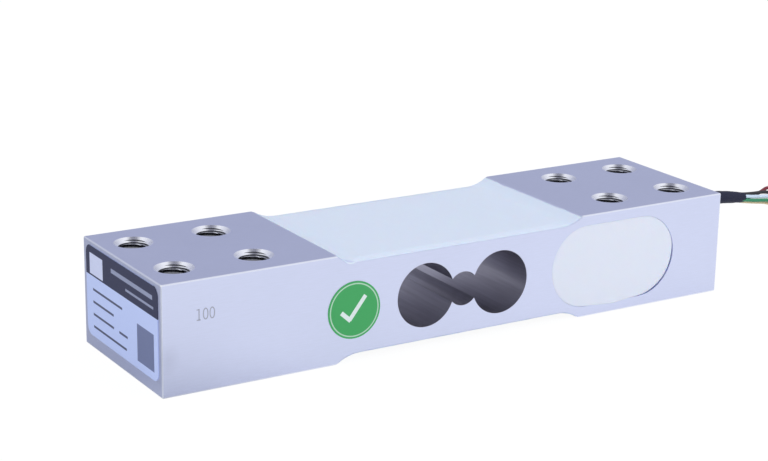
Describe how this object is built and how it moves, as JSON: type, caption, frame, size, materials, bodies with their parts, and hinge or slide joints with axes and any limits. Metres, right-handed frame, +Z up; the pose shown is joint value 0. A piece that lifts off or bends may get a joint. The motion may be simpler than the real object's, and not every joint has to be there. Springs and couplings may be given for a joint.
{
  "type": "single point load cell",
  "caption": "Bar-shaped weighing sensor with a waisted middle, a double-bore flexure opening, tapped holes at both ends and thin signal leads.",
  "frame": {"origin": "centre of the beam's bottom face", "axes": "+X along the beam towards the lead end, -Y towards the pocket side, +Z up"},
  "size_m": [0.231, 0.0449, 0.025],
  "materials": {
    "aluminium": "fine satin, clear anodised",
    "gauge_film": "amber polyimide film",
    "gauge_foil": "constantan foil",
    "copper_foil": "tinned copper foil",
    "enamelled_wire": "red enamelled copper wire",
    "board": "green solder mask",
    "resistor": "black chip resistors",
    "inner_leads": "insulated leads, five colours",
    "silicone": "white cured silicone, satin",
    "heat_shrink": "black heat-shrink sleeve",
    "label_film": "printed film",
    "sticker_film": "green printed film",
    "lead_red": "dark red insulation",
    "lead_black": "black insulation",
    "lead_white": "white insulation",
    "lead_green": "green insulation",
    "lead_yellow": "pale yellow insulation",
    "lead_coil": "five insulated leads, wound",
    "tinned_copper": "tinned copper strands"
  },
  "bodies": {
    "root": {"beam": "aluminium", "gauge_film_top_label_end": "gauge_film", "gauge_film_top_lead_end": "gauge_film", "gauge_film_bottom_label_end": "gauge_film", "gauge_film_bottom_lead_end": "gauge_film", "gauge_grid_top_label_end": "gauge_foil", "gauge_grid_top_lead_end": "gauge_foil", "gauge_grid_bottom_label_end": "gauge_foil", "gauge_grid_bottom_lead_end": "gauge_foil", "terminal_strip_top": "copper_foil", "terminal_strip_bottom": "copper_foil", "gauge_wires_top": "enamelled_wire", "gauge_wires_bottom": "enamelled_wire", "bridge_board": "board", "board_pads": "copper_foil", "trim_resistors": "resistor", "inner_leads": "inner_leads", "exit_seal": "silicone", "lead_sleeve": "heat_shrink", "top_coating": "silicone", "bottom_coating": "silicone", "pocket_potting": "silicone", "rating_label": "label_film", "round_sticker": "sticker_film", "lead_red": "lead_red", "lead_black": "lead_black", "lead_white": "lead_white", "lead_green": "lead_green", "lead_yellow": "lead_yellow", "lead_coil": "lead_coil", "lead_tips": "tinned_copper"}
  },
  "joints": []
}
